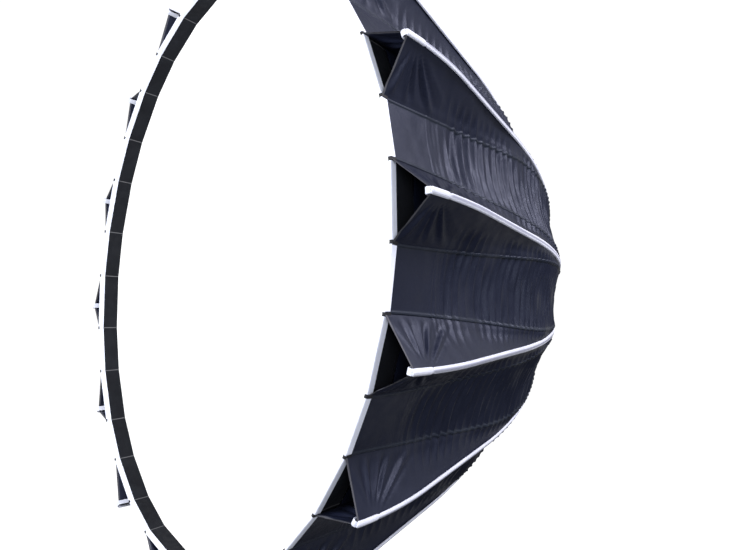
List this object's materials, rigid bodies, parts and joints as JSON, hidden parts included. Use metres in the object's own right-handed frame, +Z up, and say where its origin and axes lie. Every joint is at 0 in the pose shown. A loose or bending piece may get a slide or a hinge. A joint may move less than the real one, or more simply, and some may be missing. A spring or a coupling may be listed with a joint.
{
  "type": "octabox",
  "caption": "Deep round folding softbox for a studio lamp: curved rods, tented black fabric, a white front diffuser and a turning speedring with a bayonet insert.",
  "frame": {"origin": "on the light axis, at the seat of the bayonet insert, where the lamp's mount touches it", "axes": "+Y along the light axis towards the lamp, so the white front faces -Y; +Z up, with valleys of the fabric straight up, down and to the sides"},
  "size_m": [1.6536, 0.9644, 1.6536],
  "materials": {
    "canopy_fabric": "matt black coated polyester",
    "diffuser_fabric": "matt white woven diffusion cloth",
    "hook_loop": "loop pile",
    "rod_fibre": "glass-fibre rod",
    "knuckle_metal": "satin die-cast",
    "ring_black": "black anodised",
    "bare_steel": "brushed",
    "screw_steel": "zinc plated",
    "runner_plastic": "moulded",
    "knob_plastic": "moulded"
  },
  "bodies": {
    "insert": {"bayonet_insert": "bare_steel", "retainer_ring": "bare_steel", "retainer_screws": "screw_steel"},
    "speedring": {"speedring_body": "ring_black", "cover_ring": "ring_black", "cover_screws": "screw_steel", "hinge_pins": "screw_steel"},
    "clamp": {"clamp_screw": "screw_steel", "clamp_knob": "knob_plastic"},
    "runner": {"runner_ring": "runner_plastic"},
    "diffuser": {"front_diffuser": "diffuser_fabric", "loop_strip": "hook_loop"},
    "rib_01": {"rod_01": "rod_fibre", "knuckle_01": "knuckle_metal", "fabric_panel_01": "canopy_fabric"},
    "rib_02": {"rod_02": "rod_fibre", "knuckle_02": "knuckle_metal", "fabric_panel_02": "canopy_fabric"},
    "rib_03": {"rod_03": "rod_fibre", "knuckle_03": "knuckle_metal", "fabric_panel_03": "canopy_fabric"},
    "rib_04": {"rod_04": "rod_fibre", "knuckle_04": "knuckle_metal", "fabric_panel_04": "canopy_fabric"},
    "rib_05": {"rod_05": "rod_fibre", "knuckle_05": "knuckle_metal", "fabric_panel_05": "canopy_fabric"},
    "rib_06": {"rod_06": "rod_fibre", "knuckle_06": "knuckle_metal", "fabric_panel_06": "canopy_fabric"},
    "rib_07": {"rod_07": "rod_fibre", "knuckle_07": "knuckle_metal", "fabric_panel_07": "canopy_fabric"},
    "rib_08": {"rod_08": "rod_fibre", "knuckle_08": "knuckle_metal", "fabric_panel_08": "canopy_fabric"},
    "rib_09": {"rod_09": "rod_fibre", "knuckle_09": "knuckle_metal", "fabric_panel_09": "canopy_fabric"},
    "rib_10": {"rod_10": "rod_fibre", "knuckle_10": "knuckle_metal", "fabric_panel_10": "canopy_fabric"},
    "rib_11": {"rod_11": "rod_fibre", "knuckle_11": "knuckle_metal", "fabric_panel_11": "canopy_fabric"},
    "rib_12": {"rod_12": "rod_fibre", "knuckle_12": "knuckle_metal", "fabric_panel_12": "canopy_fabric"},
    "rib_13": {"rod_13": "rod_fibre", "knuckle_13": "knuckle_metal", "fabric_panel_13": "canopy_fabric"},
    "rib_14": {"rod_14": "rod_fibre", "knuckle_14": "knuckle_metal", "fabric_panel_14": "canopy_fabric"},
    "rib_15": {"rod_15": "rod_fibre", "knuckle_15": "knuckle_metal", "fabric_panel_15": "canopy_fabric"},
    "rib_16": {"rod_16": "rod_fibre", "knuckle_16": "knuckle_metal", "fabric_panel_16": "canopy_fabric"}
  },
  "joints": [
    {"name": "ring_turn", "type": "hinge", "parent": "insert", "child": "speedring", "pos_m": [0, 0, 0], "axis": [0, 1, 0], "continuous": true},
    {"name": "clamp_turn", "type": "hinge", "parent": "speedring", "child": "clamp", "pos_m": [0, -0.0068, 0], "axis": [0, 0, -1], "range_deg": [-540, 0]},
    {"name": "rib_fold_01", "type": "hinge", "parent": "speedring", "child": "rib_01", "pos_m": [0.102, -0.03, 0.02029], "axis": [0.1951, 0, -0.9808], "range_deg": [0, 33], "deforming": ["fabric_panel_01"]},
    {"name": "rib_fold_02", "type": "hinge", "parent": "speedring", "child": "rib_02", "pos_m": [0.08647, -0.03, 0.05778], "axis": [0.5556, 0, -0.8315], "range_deg": [0, 33], "deforming": ["fabric_panel_02"]},
    {"name": "rib_fold_03", "type": "hinge", "parent": "speedring", "child": "rib_03", "pos_m": [0.05778, -0.03, 0.08647], "axis": [0.8315, 0, -0.5556], "range_deg": [0, 33], "deforming": ["fabric_panel_03"]},
    {"name": "rib_fold_04", "type": "hinge", "parent": "speedring", "child": "rib_04", "pos_m": [0.02029, -0.03, 0.102], "axis": [0.9808, 0, -0.1951], "range_deg": [0, 33], "deforming": ["fabric_panel_04"]},
    {"name": "rib_fold_05", "type": "hinge", "parent": "speedring", "child": "rib_05", "pos_m": [-0.02029, -0.03, 0.102], "axis": [0.9808, 0, 0.1951], "range_deg": [0, 33], "deforming": ["fabric_panel_05"]},
    {"name": "rib_fold_06", "type": "hinge", "parent": "speedring", "child": "rib_06", "pos_m": [-0.05778, -0.03, 0.08647], "axis": [0.8315, 0, 0.5556], "range_deg": [0, 33], "deforming": ["fabric_panel_06"]},
    {"name": "rib_fold_07", "type": "hinge", "parent": "speedring", "child": "rib_07", "pos_m": [-0.08647, -0.03, 0.05778], "axis": [0.5556, 0, 0.8315], "range_deg": [0, 33], "deforming": ["fabric_panel_07"]},
    {"name": "rib_fold_08", "type": "hinge", "parent": "speedring", "child": "rib_08", "pos_m": [-0.102, -0.03, 0.02029], "axis": [0.1951, 0, 0.9808], "range_deg": [0, 33], "deforming": ["fabric_panel_08"]},
    {"name": "rib_fold_09", "type": "hinge", "parent": "speedring", "child": "rib_09", "pos_m": [-0.102, -0.03, -0.02029], "axis": [-0.1951, 0, 0.9808], "range_deg": [0, 33], "deforming": ["fabric_panel_09"]},
    {"name": "rib_fold_10", "type": "hinge", "parent": "speedring", "child": "rib_10", "pos_m": [-0.08647, -0.03, -0.05778], "axis": [-0.5556, 0, 0.8315], "range_deg": [0, 33], "deforming": ["fabric_panel_10"]},
    {"name": "rib_fold_11", "type": "hinge", "parent": "speedring", "child": "rib_11", "pos_m": [-0.05778, -0.03, -0.08647], "axis": [-0.8315, 0, 0.5556], "range_deg": [0, 33], "deforming": ["fabric_panel_11"]},
    {"name": "rib_fold_12", "type": "hinge", "parent": "speedring", "child": "rib_12", "pos_m": [-0.02029, -0.03, -0.102], "axis": [-0.9808, 0, 0.1951], "range_deg": [0, 33], "deforming": ["fabric_panel_12"]},
    {"name": "rib_fold_13", "type": "hinge", "parent": "speedring", "child": "rib_13", "pos_m": [0.02029, -0.03, -0.102], "axis": [-0.9808, 0, -0.1951], "range_deg": [0, 33], "deforming": ["fabric_panel_13"]},
    {"name": "rib_fold_14", "type": "hinge", "parent": "speedring", "child": "rib_14", "pos_m": [0.05778, -0.03, -0.08647], "axis": [-0.8315, 0, -0.5556], "range_deg": [0, 33], "deforming": ["fabric_panel_14"]},
    {"name": "rib_fold_15", "type": "hinge", "parent": "speedring", "child": "rib_15", "pos_m": [0.08647, -0.03, -0.05778], "axis": [-0.5556, 0, -0.8315], "range_deg": [0, 33], "deforming": ["fabric_panel_15"]},
    {"name": "rib_fold_16", "type": "hinge", "parent": "speedring", "child": "rib_16", "pos_m": [0.102, -0.03, -0.02029], "axis": [-0.1951, 0, -0.9808], "range_deg": [0, 33], "deforming": ["fabric_panel_16"]},
    {"name": "runner_slide", "type": "slide", "parent": "speedring", "child": "runner", "axis": [0, 1, 0], "range_m": [0, 0.0104]},
    {"name": "diffuser_off", "type": "slide", "parent": "speedring", "child": "diffuser", "axis": [0, -1, 0], "range_m": [0, 0.7]}
  ],
  "couplings": [
    {"joint": "rib_fold_02", "follows": "rib_fold_01", "ratio": 1},
    {"joint": "rib_fold_03", "follows": "rib_fold_01", "ratio": 1},
    {"joint": "rib_fold_04", "follows": "rib_fold_01", "ratio": 1},
    {"joint": "rib_fold_05", "follows": "rib_fold_01", "ratio": 1},
    {"joint": "rib_fold_06", "follows": "rib_fold_01", "ratio": 1},
    {"joint": "rib_fold_07", "follows": "rib_fold_01", "ratio": 1},
    {"joint": "rib_fold_08", "follows": "rib_fold_01", "ratio": 1},
    {"joint": "rib_fold_09", "follows": "rib_fold_01", "ratio": 1},
    {"joint": "rib_fold_10", "follows": "rib_fold_01", "ratio": 1},
    {"joint": "rib_fold_11", "follows": "rib_fold_01", "ratio": 1},
    {"joint": "rib_fold_12", "follows": "rib_fold_01", "ratio": 1},
    {"joint": "rib_fold_13", "follows": "rib_fold_01", "ratio": 1},
    {"joint": "rib_fold_14", "follows": "rib_fold_01", "ratio": 1},
    {"joint": "rib_fold_15", "follows": "rib_fold_01", "ratio": 1},
    {"joint": "rib_fold_16", "follows": "rib_fold_01", "ratio": 1},
    {"joint": "runner_slide", "follows": "rib_fold_01", "m_per_rad": 0.018},
    {"joint": "diffuser_off", "follows": "rib_fold_01", "m_per_rad": 1.2}
  ]
}
